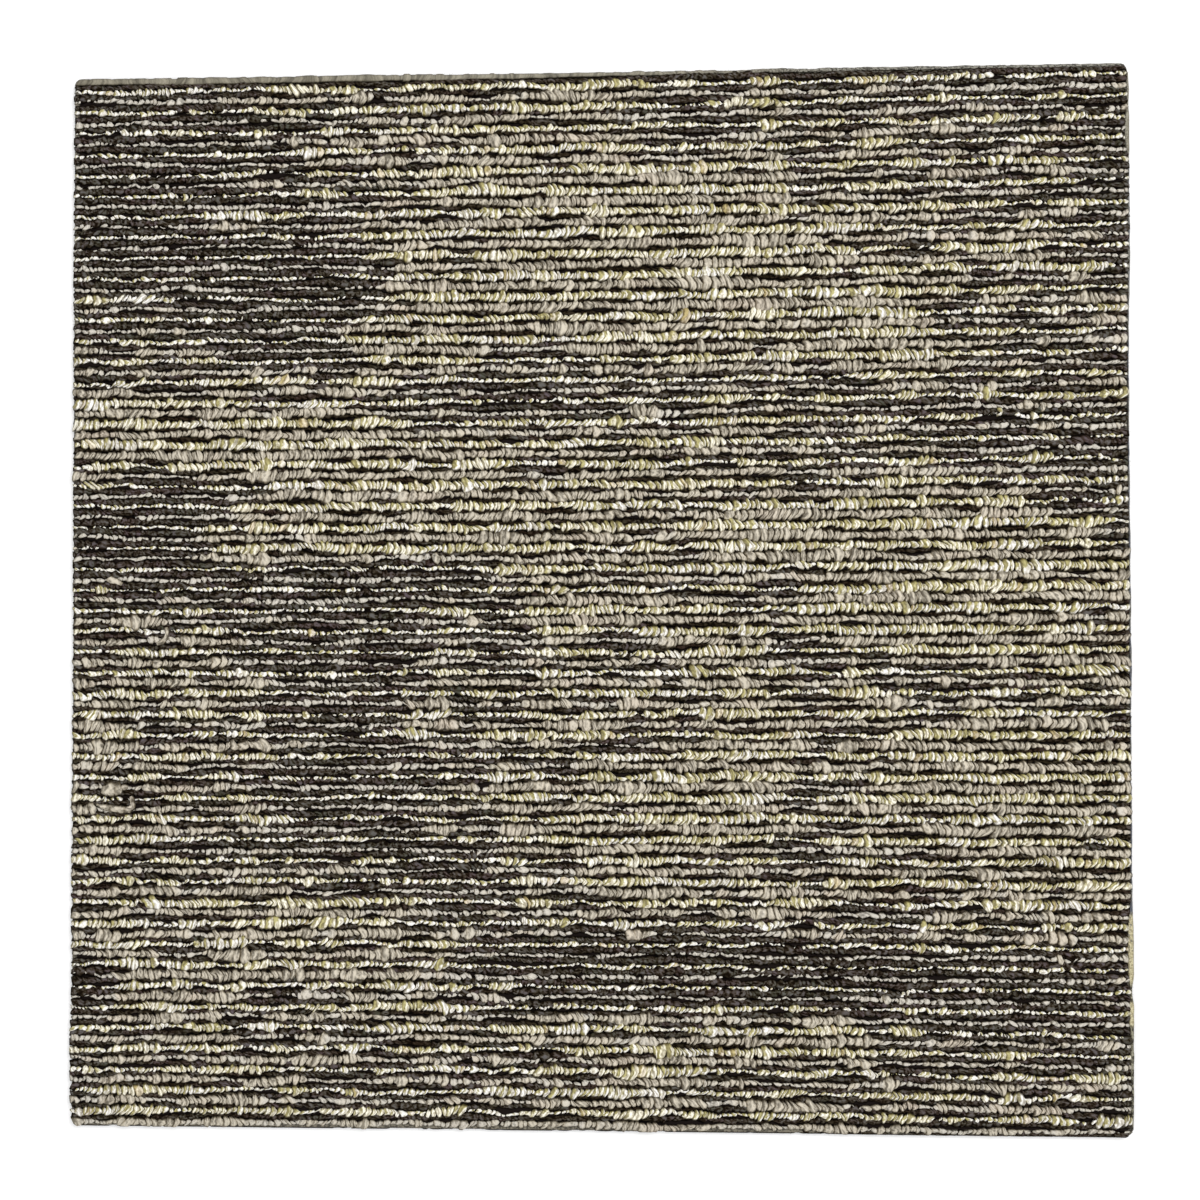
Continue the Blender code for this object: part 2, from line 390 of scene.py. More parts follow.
def row_points(yarn, rng, y, stand_at, fuzz):
    """One row's rings of points, rings x points x 3, and the two sets of values that its material reads.

    All along a row, lumps, creases and offsets are random, and rows with fuzz have less of them.
    """
    start, end = row_ends(y, rng)
    count = int(round((end - start) / yarn.loop_length))
    lengths = np.exp(yarn.length_spread * np.clip(rng.standard_normal(count), -LENGTH_LIMIT, LENGTH_LIMIT))
    starts = np.concatenate([[0], np.cumsum(lengths)])
    starts = start + starts / starts[-1] * (end - start)

    steps = np.array(yarn.steps)
    phase = np.append((np.arange(count)[:, None] + steps).ravel(), count)
    x = np.interp(phase, np.arange(count + 1), starts)
    loop = np.minimum(phase.astype(int), count - 1)
    crease = np.append(np.tile(steps == 0, count), True)[:, None]
    nearest = np.append((np.arange(count)[:, None] + (steps > 0.5)).ravel(), count)

    def along(values):
        return np.interp(phase, np.arange(count + 1), values)[:, None]

    # The two sides of a row have lumps of their own size, and creases of their own depth
    stand = np.clip(stand_at(x) + STAND_SPREAD * rng.standard_normal(count)[loop], BURIED, 1)[:, None]
    lumps = RUN_LUMPS * smoothed(rng.standard_normal(count), 1.8) + LOOP_LUMPS * rng.standard_normal(count)
    lumps = np.clip(lumps[:, None] + SIDE_LUMPS * rng.standard_normal((count, 2)), *LUMP_LIMITS)
    lumps *= 1 - 0.8 * fuzz
    longer = lengths ** (0.35 - 0.3 * fuzz)
    size = np.exp(between(yarn.size_spread, stand) * lumps[loop]) * longer[loop, None]
    depth = yarn.shallow + (1 - yarn.shallow) * rng.random((count + 1, 1)) ** 0.5
    bias = rng.uniform(-CREASE_BIAS, CREASE_BIAS, count + 1)
    depth = np.clip(depth * (1 + np.stack([-bias, bias], -1)), 0, 1)[nearest] * (1 - 0.95 * fuzz)
    width = between(yarn.half_width, stand) * size
    width *= 1 - crease * depth * (1 - between(yarn.crease_width, stand))
    height = between(yarn.height, stand) * (0.6 + 0.4 * size) * (1 - 0.10 * rng.random((len(x), 1)))
    height *= 1 - crease * depth * (1 - between(yarn.crease_height, stand))

    wander = WANDER * smoothed(rng.standard_normal(count + 1), 2.6)
    offset = along(wander + yarn.jitter * rng.standard_normal(count + 1))
    offset = offset * (1.5 - 0.5 * stand) * (1 - 0.75 * fuzz)
    bow = along(yarn.bow * (0.9 + 0.6 * smoothed(rng.standard_normal(count + 1), 0.8)))
    slants = ROW_SLANT * rng.standard_normal() + LOOP_SLANT * smoothed(rng.standard_normal(count + 1), 1.0)
    slant = along(yarn.slant * slants)
    lean = along(LEAN * rng.standard_normal(count + 1))
    narrow = np.sqrt(np.minimum(width.mean(axis=1, keepdims=True) / yarn.half_width[1], 1))

    middle = np.minimum((y + row_drift(x, y))[:, None] + offset, HALF_WIDTH - FIRST_ROW_INSET)
    beyond = np.clip((np.abs(middle) - HALF_WIDTH + 0.3 * MM) / (1.8 * MM), 0, 1)
    height *= 1 - 0.75 * beyond
    for hole_x, hole_y, half_x, half_y in HOLES:
        near = ((x[:, None] / MM - hole_x) / half_x) ** 4 + ((middle / MM - hole_y) / half_y) ** 4
        height *= 1 - 0.85 * np.exp(-near)
        width *= 1 - 0.6 * np.exp(-near)

    across = np.array(yarn.section["across"])
    shares = side_shares(across)
    points = np.empty((len(x), len(across), 3))
    points[..., 0] = x[:, None] + narrow * (bow * (0.45 - across**2) + slant * across)
    points[..., 1] = middle + across * (width @ shares)
    points[..., 2] = ROW_FOOT + (height @ shares) * np.array(yarn.section["high"]) * (1 + lean * across)

    read = np.empty_like(points)
    read[..., 0] = phase[:, None]
    read[..., 1] = across
    read[..., 2] = y / MM
    lie = np.empty_like(points)
    to_end = np.minimum(x - start, end - x)
    lie[..., 0] = depth @ shares
    lie[..., 1] = stand
    lie[..., 2] = np.maximum(fuzz, 1 - smoothstep(0, 1.3 * MM, to_end))[:, None]
    return points, read, lie


def bump_at(y, centre, half):
    """A smooth bump along Y, 1 in its middle and next to 0 past its half length."""
    return np.exp(-(((y - centre) / half) ** 4))


def strip_reach(y):
    """How far the edge strip reaches in between the rows, and how far out over the right edge."""
    inward, outward = 0.0, 0.0
    for centre, half, deep, out in STRIP_BULGES:
        bump = bump_at(y, centre, half)
        inward = inward + deep * bump
        outward = outward + out * bump
    return STRIP_WIDTH + inward, outward


def left_overhang(y):
    return sum(far * bump_at(y, centre, half) for centre, half, far in LEFT_BULGES)


def right_inset(y, rng):
    """How far short of the right edge a row ends, where the edge strip shows."""
    inward, outward = strip_reach(y)
    return float(inward - outward) + rng.uniform(*ROW_END_SPREAD) * MM


def inside_outline(points, far_reach):
    """Pulls what hangs too far over the tile's outline back."""
    limit_x = edge_at(points[:, 1], HALF_LENGTH, HALF_WIDTH)
    left = limit_x + left_overhang(points[:, 1]) + LEFT_SHARE * OVERHANG
    right = limit_x + strip_reach(points[:, 1])[1]
    points[:, 0] = np.clip(points[:, 0], -left, right)
    edge = edge_at(points[:, 0], HALF_WIDTH, HALF_LENGTH)
    waves = [np.sin(points[:, 0] / length) for length in FAR_EDGE_WAVES]
    uneven = 0.8 + 0.3 * waves[0] * waves[1]
    points[:, 1] = np.clip(points[:, 1], -edge - OVERHANG, edge + far_reach * uneven)
    return points


def mesh_piece(name, points, corners, sizes, material, read=None, lie=None, maps=None):
    """A smooth mesh from its points, its faces' corners one after another, and each face's number of them.

    read and lie are what a yarn's material reads, and maps is each corner's place on the map.
    """
    mesh = bpy.data.meshes.new(name)
    mesh.vertices.add(len(points))
    mesh.vertices.foreach_set("co", points.astype(np.float32).ravel())
    mesh.loops.add(len(corners))
    mesh.loops.foreach_set("vertex_index", corners.astype(np.int32))
    mesh.polygons.add(len(sizes))
    first = np.concatenate([[0], np.cumsum(sizes)[:-1]])
    mesh.polygons.foreach_set("loop_start", first.astype(np.int32))
    mesh.update(calc_edges=True)
    mesh.shade_smooth()
    for label, values in (("yarn", read), ("lie", lie)):
        if values is not None:
            attribute = mesh.attributes.new(label, "FLOAT_VECTOR", "POINT")
            attribute.data.foreach_set("vector", values.astype(np.float32).ravel())
    if maps is not None:
        layer = mesh.uv_layers.new(name="OFBake")
        layer.uv.foreach_set("vector", maps.astype(np.float32).ravel())
    mesh.materials.append(material)
    piece = bpy.data.objects.new(name, mesh)
    bpy.context.scene.collection.objects.link(piece)
    return piece


def stand_for_pile(piece):
    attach(piece, "root")
    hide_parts("pile")


CAP_BAND = 0.02  # the share of the map's height that holds the rows' end caps
MAP_MARGIN = 0.001  # what each end of a strip of the map leaves free


def row_faces(rings, across, first, x, strip, strips):
    """A closed tube of quads round the rings, with two caps: its corners, face sizes and places on the map.

    Its first point has the number first. The row lies in two strips of the map, one for each half of it.
    """
    sides = len(across)
    ring, side = np.meshgrid(np.arange(rings - 1), np.arange(sides), indexing="ij")
    following = (side + 1) % sides
    here, there = ring * sides, (ring + 1) * sides
    quads = np.stack([here + side, there + side, there + following, here + following], axis=-1)
    caps = [np.arange(sides), (rings - 1) * sides + np.arange(sides)[::-1]]
    corners = np.concatenate([quads.ravel(), *caps]) + first
    sizes = np.concatenate([np.full((rings - 1) * sides, 4), np.full(2, sides)])

    half = rings // 2
    second = (ring >= half).astype(int)
    low = np.where(second, x[half], x[0])
    high = np.where(second, x[-1], x[half])
    usable = 1 - 2 * MAP_MARGIN
    near = MAP_MARGIN + usable * (x[ring] - low) / (high - low)
    far = MAP_MARGIN + usable * (x[ring + 1] - low) / (high - low)
    # The crown takes most of a strip's width, and the two faces to the foot the rest
    edges = np.concatenate([0.47 + 0.45 * np.array(across[:-1]), [0.95, 0.98]])
    floor = (strip + second) / strips
    one = (floor + edges[side] / strips) * (1 - CAP_BAND)
    other = (floor + edges[side + 1] / strips) * (1 - CAP_BAND)
    quad_u = np.stack([near, far, far, near], -1)
    quad_v = np.stack([one, one, other, other], -1)
    quad_maps = np.stack([quad_u, quad_v], -1)
    turns = np.arange(sides) / sides * 2 * math.pi
    cell = 1 / strips
    cap_maps = []
    for centre in (strip + 0.5, strip + 1.5):
        u = (centre + 0.4 * np.cos(turns)) * cell
        v = 1 - CAP_BAND * (0.5 + 0.4 * np.sin(turns))
        cap_maps.append(np.stack([u, v], -1))
    maps = np.concatenate([quad_maps.reshape(-1, 2), *cap_maps])
    return corners, sizes, maps


def tubes_piece(name, material, tubes):
    """One piece from tubes, each its points, corners, face sizes, the two sets of values and its map."""
    points, corners, sizes, read, lie, maps = [np.concatenate(values) for values in zip(*tubes)]
    piece = mesh_piece(name, points, corners, sizes, material, read, lie, maps)
    stand_for_pile(piece)


def make_rows(yarn, rows, material, rng):
    """Builds all rows of a yarn, shared among its pieces.

    rows lists each row's y, the function that tells how tall it stands, and its fuzz.
    """
    across = yarn.section["across"]
    for part, chosen in enumerate(np.array_split(np.arange(len(rows)), ROW_PIECES)):
        tubes = []
        first = 0
        for order, index in enumerate(chosen):
            points, read, lie = row_points(yarn, rng, *rows[index])
            travelled = points[:, -1, 0]
            faces = row_faces(len(points), across, first, travelled, 2 * order, 2 * len(chosen))
            corners, sizes, maps = faces
            points = inside_outline(points.reshape(-1, 3), yarn.far_reach)
            tubes.append((points, corners, sizes, read, lie, maps))
            first += len(points)
        tubes_piece(f"{yarn.name}_{part + 1}", material, tubes)


class Nodes:
    """Short calls for a material's nodes. A value given for an input is a number, a colour or a socket."""

    def __init__(self, name):
        self.material = bpy.data.materials.new(name)
        self.material.use_nodes = True
        self.tree = self.material.node_tree
        self.shader = self.tree.nodes["Principled BSDF"]

    def put(self, socket, value):
        if isinstance(value, bpy.types.NodeSocket):
            self.tree.links.new(value, socket)
        elif isinstance(value, tuple):
            socket.default_value = (*value, 1)
        else:
            socket.default_value = value

    def add(self, kind, inputs=(), **settings):
        node = self.tree.nodes.new("ShaderNode" + kind)
        for key, value in settings.items():
            setattr(node, key, value)
        for key, value in dict(inputs).items():
            self.put(node.inputs[key], value)
        return node

    def maths(self, operation, *values, clamp=False):
        node = self.add("Math", enumerate(values), operation=operation, use_clamp=clamp)
        return node.outputs[0]

    def ramp(self, value, low, high, to_low=0.0, to_high=1.0):
        """to_low where value is low or less, to_high where it is high or more, smooth in between."""
        node = self.add("MapRange", interpolation_type="SMOOTHSTEP")
        for socket, given in zip(node.inputs, (value, low, high, to_low, to_high)):
            self.put(socket, given)
        return node.outputs[0]

    def mix(self, share, first, second, blend="MIX"):
        node = self.add("Mix", data_type="RGBA", blend_type=blend)
        self.put(node.inputs[0], share)
        self.put(node.inputs[6], first)
        self.put(node.inputs[7], second)
        return node.outputs[2]

    def vector(self, x, y, z):
        return self.add("CombineXYZ", {0: x, 1: y, 2: z}).outputs[0]

    def place(self):
        return self.add("TexCoord").outputs["Object"]

    def surface(self, colour, roughness):
        self.put(self.shader.inputs["Base Color"], colour)
        self.shader.inputs["Roughness"].default_value = roughness
        return self.material

    def noise(self, vector, scale, detail=2.0, roughness=0.5):
        inputs = {"Vector": vector, "Scale": scale, "Detail": detail, "Roughness": roughness}
        return self.add("TexNoise", inputs).outputs["Fac"]


class YarnNodes(Nodes):
    """The nodes of a yarn's material, with what its mesh tells them."""

    def __init__(self, name):
        super().__init__(name)
        read = self.add("Attribute", attribute_name="yarn").outputs["Vector"]
        parts = self.add("SeparateXYZ", {0: read}).outputs
        self.phase, self.across, self.row = parts[0], parts[1], parts[2]
        lie = self.add("Attribute", attribute_name="lie").outputs["Vector"]
        parts = self.add("SeparateXYZ", {0: lie}).outputs
        self.depth, self.stand, self.fuzz = parts[0], parts[1], parts[2]
        self.within = self.maths("FRACT", self.phase)
        loop = self.maths("FLOOR", self.phase)
        place = self.vector(loop, self.row, 0.0)
        chance = self.add("TexWhiteNoise", {"Vector": place}, noise_dimensions="3D").outputs
        self.chance = chance["Value"]
        rest = self.add("SeparateColor", {0: chance["Color"]}).outputs
        self.chance_2, self.chance_3 = rest[1], rest[2]
        self.run = self.vector(self.phase, self.row, 0.0)
        self.to_side = self.maths("ABSOLUTE", self.across)

    def times(self, *values):
        product = values[0]
        for value in values[1:]:
            product = self.maths("MULTIPLY", product, value)
        return product

    def plus(self, first, second):
        return self.maths("ADD", first, second)

    def filaments(self, along, across):
        """Noise drawn out along the yarn, which bows over the row."""
        skewed = self.plus(self.times(self.phase, along), self.times(self.across, 0.6))
        return self.noise(self.vector(skewed, self.times(self.across, across), self.row), 1.0, 2.0)

    def crease(self, reach, strength):
        """Painted shade: 1 on the crowns, darker in the creases between loops, the more so the deeper they
        are.

        Each loop leans over the next one, so the painted shade reaches further into that one than into
        itself.
        """
        after = self.ramp(self.within, 0.02, reach, 1.0, 0.0)
        before = self.ramp(self.within, 1 - 0.4 * reach, 0.99, 0.0, 1.0)
        in_crease = self.maths("MAXIMUM", after, before)
        return self.maths("SUBTRACT", 1.0, self.times(in_crease, self.depth, strength))

    def strands(self, count, sharp):
        """Bands along the loops' bow, about count to a loop, from 0 to 1."""
        place = self.vector(self.times(self.phase, 0.8), self.times(self.across, 0.8), self.row)
        wavy = self.times(self.noise(place, 1.0, 2.0), 2.4)
        turn = self.times(self.plus(self.times(self.phase, count), wavy), 2 * math.pi)
        return self.ramp(self.maths("SINE", turn), -sharp, sharp)

    def ply_and_lit_side(self):
        """From 0 on the side where a loop comes up to 1 where it goes down, with a ragged border."""
        # Beige is painted lighter on the side where a loop goes down, as painted light; cream puts its white
        # ply there, partly a painted highlight
        place = self.vector(self.times(self.phase, 1.2), self.across, self.row)
        ragged = self.times(self.maths("SUBTRACT", self.noise(place, 1.0, 2.0), 0.5), 1.4)
        lean = self.plus(self.within, self.times(self.across, -0.22))
        lean = self.plus(lean, ragged)
        return self.ramp(lean, 0.22, 0.62)

    def dome(self):
        """0 in the middle of a loop's crown, and 1 or more at its border. Each loop's is turned a little."""
        turn = self.times(self.maths("SUBTRACT", self.chance_2, 0.5), self.across, 1.1)
        along = self.plus(self.maths("SUBTRACT", self.within, 0.5), turn)
        across = self.times(self.across, self.across, 0.8)
        return self.plus(self.times(along, along, 4.0), across)

    def rim(self, start, dark):
        # Painted shade on a row's sides: from 1 where across is start, down to dark at the side
        return self.ramp(self.to_side, start, 1.0, 1.0, dark)

    def finish(self, colour, shade, warmth, roughness, shine, bump_height, bump_depth):
        """Puts the colour, darkened by its painted shade, and a fine bump on the shader.

        The painted shade is warmer than black, standing in for light from one strand to the next.
        """
        shade = self.maths("MAXIMUM", shade, 0.0)
        green = self.maths("POWER", shade, 1 + warmth)
        blue = self.maths("POWER", shade, 1 + 3 * warmth)
        warm = self.add("CombineColor", {0: shade, 1: green, 2: blue}).outputs[0]
        self.surface(self.mix(1.0, colour, warm, "MULTIPLY"), roughness)
        self.shader.inputs["Specular IOR Level"].default_value = shine
        bump = self.add("Bump", {"Strength": 0.75, "Distance": bump_depth, "Height": bump_height})
        self.put(self.shader.inputs["Normal"], bump.outputs[0])
        return self.material


def beige_material():
    nodes = YarnNodes("beige_yarn")
    filaments = nodes.filaments(3.4, 1.4)
    # Painted highlight on each loop's crown, and painted shade at its border
    light = nodes.ramp(nodes.dome(), 0.10, 1.10, 0.10, -0.28)
    light = nodes.plus(light, nodes.ramp(nodes.chance, 0.0, 1.0, 0.22, 0.68))
    # Painted light: lighter on the side where each loop goes down
    light = nodes.plus(light, nodes.ramp(nodes.ply_and_lit_side(), 0.0, 1.0, -0.08, 0.14))
    strands = nodes.strands(1.9, 0.6)
    light = nodes.plus(light, nodes.ramp(strands, 0.0, 1.0, -0.22, 0.22))
    light = nodes.plus(light, nodes.ramp(filaments, 0.28, 0.72, -0.34, 0.40))
    sunk = nodes.times(nodes.maths("SUBTRACT", 1.0, nodes.stand), 0.38)
    light = nodes.maths("ADD", light, sunk, clamp=True)
    colour = nodes.mix(light, (0.135, 0.117, 0.088), (0.62, 0.562, 0.455))
    pink = nodes.ramp(nodes.noise(nodes.run, 0.10, 1.0), 0.50, 0.75, 0.0, 0.5)
    colour = nodes.mix(pink, colour, nodes.mix(light, (0.150, 0.115, 0.088), (0.63, 0.530, 0.435)))
    cool = nodes.mix(light, (0.132, 0.122, 0.104), (0.61, 0.575, 0.508))
    colour = nodes.mix(nodes.ramp(nodes.stand, 0.0, 0.6, 0.9, 0.0), colour, cool)
    mottled = nodes.ramp(nodes.noise(nodes.run, 1.1, 4.0, 0.7), 0.32, 0.68)
    rubbed = nodes.mix(mottled, (0.085, 0.077, 0.056), (0.31, 0.284, 0.216))
    speckled = nodes.mix(nodes.ramp(filaments, 0.4, 0.6), (0.03, 0.028, 0.022), (0.26, 0.25, 0.21))
    x = nodes.add("SeparateXYZ", {0: nodes.place()}).outputs[0]
    rubbed = nodes.mix(nodes.ramp(x, 0.03, 0.12), rubbed, speckled)
    colour = nodes.mix(nodes.times(nodes.fuzz, 0.9), colour, rubbed)
    # Painted shade in the creases and on the row's sides
    shade = nodes.times(nodes.crease(0.26, 0.97), nodes.rim(0.58, 0.25))
    relief = nodes.plus(nodes.times(filaments, 0.8), nodes.times(strands, 0.8))
    return nodes.finish(colour, shade, 0.10, 0.9, 0.2, relief, 0.0003)


def cream_material():
    nodes = YarnNodes("cream_yarn")
    filaments = nodes.filaments(3.0, 1.4)
    run = nodes.noise(nodes.run, 0.22, 1.0)
    pick = nodes.plus(nodes.times(nodes.chance, 0.34), nodes.times(run, 1.2))
    pick = nodes.plus(pick, nodes.times(filaments, 0.55))
    pick = nodes.plus(pick, nodes.ramp(nodes.stand, 0.0, 0.6, 0.14, 0.0))
    # The white ply, partly a painted highlight, lies on the side where each loop goes down
    white = nodes.ramp(nodes.plus(pick, nodes.times(nodes.ply_and_lit_side(), 0.62)), 1.10, 1.60)
    cool = nodes.ramp(nodes.noise(nodes.run, 0.08, 1.0), 0.46, 0.60)
    cool = nodes.maths("MAXIMUM", cool, nodes.ramp(nodes.stand, 0.0, 0.5, 0.85, 0.0))
    whites = nodes.mix(cool, (0.93, 0.885, 0.730), (0.90, 0.875, 0.825))
    colour = nodes.mix(white, (0.44, 0.395, 0.160), whites)
    tan = nodes.ramp(nodes.chance_3, 0.965, 0.985, 0.0, 0.5)
    colour = nodes.mix(tan, colour, (0.50, 0.35, 0.16))
    colour = nodes.mix(nodes.times(nodes.fuzz, 0.8), colour, (0.38, 0.35, 0.25))
    light = nodes.ramp(nodes.chance_2, 0.0, 1.0, 0.76, 1.08)
    strands = nodes.strands(1.8, 0.55)
    light = nodes.times(light, nodes.ramp(strands, 0.0, 1.0, 0.68, 1.20))
    light = nodes.times(light, nodes.ramp(filaments, 0.28, 0.72, 0.62, 1.28))
    light = nodes.times(light, nodes.ramp(nodes.stand, 0.0, 0.6, 1.28, 1.0))
    # Painted shade in the creases and on the row's sides
    shade = nodes.times(nodes.crease(0.28, 0.98), nodes.rim(0.58, 0.25), light)
    relief = nodes.plus(nodes.times(filaments, 0.8), nodes.times(strands, 0.8))
    return nodes.finish(colour, nodes.maths("MINIMUM", shade, 1.07), 0.08, 0.5, 0.45, relief, 0.0003)


def charcoal_material():
    nodes = YarnNodes("charcoal_yarn")
    filaments = nodes.filaments(2.2, 1.6)
    run = nodes.noise(nodes.run, 0.09, 1.0)
    strand = nodes.noise(nodes.run, 1.7, 1.0)
    colour = nodes.mix(nodes.ramp(run, 0.40, 0.60), (0.042, 0.027, 0.021), (0.032, 0.029, 0.017))
    colour = nodes.mix(nodes.ramp(strand, 0.40, 0.60, 0.0, 0.55), colour, (0.046, 0.031, 0.029))
    colour = nodes.mix(nodes.chance, colour, (0.050, 0.041, 0.028))
    # Random lighter and darker spots: partly the yarn's own varied tone, partly painted highlights and shade
    # of its lumps
    light = nodes.ramp(filaments, 0.34, 0.66, 0.12, 2.35)
    # Painted shade where the charcoal sinks below the light rows beside it
    light = nodes.times(light, nodes.ramp(nodes.stand, 0.1, 0.75, 0.30, 1.0))
    # Painted shade in the creases, and nearly black on the row's sides
    shade = nodes.times(nodes.crease(0.30, 0.92), nodes.rim(0.36, 0.04), light)
    return nodes.finish(colour, shade, 0.18, 0.95, 0.06, filaments, 0.0005)


def make_pile():
    rng = np.random.default_rng(SEED)
    pattern = Pattern(rng)
    last = LIGHT_ROWS - 1
    light = [(pattern.y[row], partial(pattern.light, row), 0.0) for row in range(LIGHT_ROWS)]
    light[0] = (pattern.y[0], partial(pattern.light, 0), FIRST_ROW_FUZZ)
    light[last] = (pattern.y[last] - LAST_ROW_SHIFT, partial(pattern.light, last), LAST_ROW_FUZZ)
    dark = [(pattern.y[row] - PAIR_PITCH / 2, partial(pattern.charcoal, row), 0.0) for row in range(last)]
    dark.append((pattern.y[last] - PAIR_PITCH / 2, near_rim, 0.0))
    beige = beige_material()
    make_rows(BEIGE, light[0::2], beige, rng)
    make_rows(CREAM, light[1::2], cream_material(), rng)
    make_rows(CHARCOAL, dark, charcoal_material(), rng)
    make_snags(beige, rng)
    make_edge_strip(rng)
    make_fringe(rng)


def outline(radius, steps=8):
    """The tile's rectangle with round corners, anticlockwise, as x and y."""
    turns = np.concatenate([q * math.pi / 2 + np.linspace(0, math.pi / 2, steps) for q in range(4)])
    middles = np.repeat([q * math.pi / 2 + math.pi / 4 for q in range(4)], steps)
    x = np.sign(np.cos(middles)) * (HALF_LENGTH - radius) + radius * np.cos(turns)
    y = np.sign(np.sin(middles)) * (HALF_WIDTH - radius) + radius * np.sin(turns)
    return x, y


def make_stitch_layer():
    """The cloth that the rows are tufted through, seen at the edges, with painted shade almost black between
    rows.
    """
    nodes = Nodes("stitch_layer")
    where = nodes.place()
    grain = nodes.noise(where, 900.0, 3.0)
    colour = nodes.mix(nodes.ramp(grain, 0.35, 0.65), (0.050, 0.046, 0.038), (0.20, 0.18, 0.14))
    parts = nodes.add("SeparateXYZ", {0: where}).outputs
    to_sides = nodes.maths("MAXIMUM", *[nodes.maths("ABSOLUTE", parts[axis]) for axis in (0, 1)])
    # Painted shade: away from the edges the cloth is painted almost black, for the shade between the rows
    inside = nodes.ramp(to_sides, HALF_WIDTH - 2.5 * MM, HALF_WIDTH - 1.5 * MM, 1.0, 0.0)
    painted_shade_between_rows = (0.010, 0.007, 0.006)
    colour = nodes.mix(inside, colour, painted_shade_between_rows)
    nodes.surface(colour, 0.95)
    nodes.shader.inputs["Specular IOR Level"].default_value = 0.05
    x, y = outline(CORNER_RADIUS)
    rim = np.stack([x, y, np.zeros_like(x)], axis=-1)
    low = rim + [0, 0, BACKING_TOP]
    high = rim + [0, 0, STITCH_TOP]
    count = len(rim)
    around = np.arange(count)
    after = (around + 1) % count
    walls = np.stack([around, after, after + count, around + count], axis=-1)
    corners = np.concatenate([walls.ravel(), around[::-1], around + count])
    sizes = np.concatenate([np.full(count, 4), [count, count]])
    piece = mesh_piece("stitch_layer", np.concatenate([low, high]), corners, sizes, nodes.material)
    piece.data.shade_flat()
    stand_for_pile(piece)


def rounded_tube(path, half_widths, heights, base):
    """Rings of points for a low tube lying along a path of x and y, with its foot at height base."""
    along = np.gradient(path, axis=0)
    along /= np.linalg.norm(along, axis=1)[:, None]
    sideways = np.stack([-along[:, 1], along[:, 0]], axis=-1)
    across = np.array(LIGHT_SECTION["across"])
    points = np.empty((len(path), len(across), 3))
    points[..., :2] = path[:, None, :] + sideways[:, None, :] * (across * half_widths[:, None])[..., None]
    points[..., 2] = base + heights[:, None] * np.array(LIGHT_SECTION["high"])
    return points


# What loose tubes tell their material: how deep their creases are, how tall they stand, and no fuzz. In
# place of a row's y they have a number past all rows, so that they get noise of their own
LOOSE_LIE = (0.3, 0.7, 0.0)
LOOSE_ROW = 1000


def make_loose_tubes(name, material, rings_a_loop, tubes):
    """One piece from loose tubes, each given as its rings of points."""
    across = LIGHT_SECTION["across"]
    made = []
    first = 0
    for order, points in enumerate(tubes):
        rings = len(points)
        faces = row_faces(rings, across, first, np.arange(rings) / rings, 2 * order, 2 * len(tubes))
        corners, sizes, maps = faces
        read = np.empty_like(points)
        read[..., 0] = (np.arange(rings) / rings_a_loop)[:, None]
        read[..., 1] = across
        read[..., 2] = LOOSE_ROW + 10 * order
        lie = np.empty_like(points)
        lie[...] = LOOSE_LIE
        made.append((points.reshape(-1, 3), corners, sizes, read, lie, maps))
        first += points.size // 3
    tubes_piece(name, material, made)


def curve_through(stops, spacing):
    """Points at even spacing on a smooth curve near the stops, rows of numbers that start with x and y."""
    stops = np.array(stops, float)
    gaps = np.linalg.norm(np.diff(stops[:, :2], axis=0), axis=1)
    reached = np.concatenate([[0], np.cumsum(gaps)])
    fine = np.linspace(0, reached[-1], max(8, int(reached[-1] / spacing)))
    straight = np.stack([np.interp(fine, reached, column) for column in stops.T], axis=-1)
    rounded = straight.copy()
    for _ in range(6):
        rounded[1:-1] = (rounded[:-2] + rounded[1:-1] + rounded[2:]) / 3
    return rounded


# Snags: lumps of beige yarn that stand out of their row, and strands pulled across the rows.
# Each stop is x, y and half width in millimetres, and height over the stitch layer
SNAGS = (
    (
        (-235.4, -91.6, 1.6, 3.4),
        (-232.6, -90.6, 3.6, 4.3),
        (-228.6, -90.0, 3.7, 4.4),
        (-225.6, -91.0, 2.0, 3.6),
    ),
    ((-226.2, -89.8, 1.0, 3.2), (-224.4, -89.2, 2.0, 3.8), (-222.9, -89.0, 1.0, 3.0)),
    (
        (-238.0, -97.6, 0.7, 2.4),
        (-235.0, -98.6, 1.5, 3.3),
        (-229.0, -99.6, 1.9, 3.7),
        (-223.0, -100.2, 1.8, 3.8),
        (-220.6, -98.8, 1.5, 3.9),
        (-220.4, -96.2, 1.4, 3.9),
        (-221.4, -93.6, 1.0, 3.4),
    ),
    ((-233.4, 9.6, 0.8, 2.4), (-231.4, 9.6, 2.1, 3.2), (-228.6, 9.0, 1.9, 3.2), (-226.0, 7.4, 0.9, 2.6)),
    (
        (-204.6, -13.2, 0.9, 2.6),
        (-204.0, -15.8, 1.2, 3.2),
        (-204.6, -18.4, 1.4, 3.3),
        (-206.8, -20.4, 1.3, 3.1),
        (-209.0, -21.0, 0.9, 2.6),
    ),
)

SNAG_SPACING = 0.42  # between a snag's rings, in millimetres
SNAG_RINGS_A_LOOP = 16.0


def make_snags(material, rng):
    tubes = []
    for stops in SNAGS:
        curve = curve_through(stops, SNAG_SPACING)
        lumps = 1 + 0.10 * smoothed(rng.standard_normal(len(curve)), 0.8)
        place, half_width, height = curve[:, :2] * MM, curve[:, 2] * lumps * MM, curve[:, 3] * MM
        tubes.append(rounded_tube(place, half_width, height, STITCH_TOP))
    make_loose_tubes("pulled_yarns", material, SNAG_RINGS_A_LOOP, tubes)


# Where the strip is olive: centre along Y, and how far from it the olive starts to fade and is gone
OLIVE_BANDS = (
    (-0.163, 0.014, 0.018),
    (-0.193, 0.004, 0.007),
)


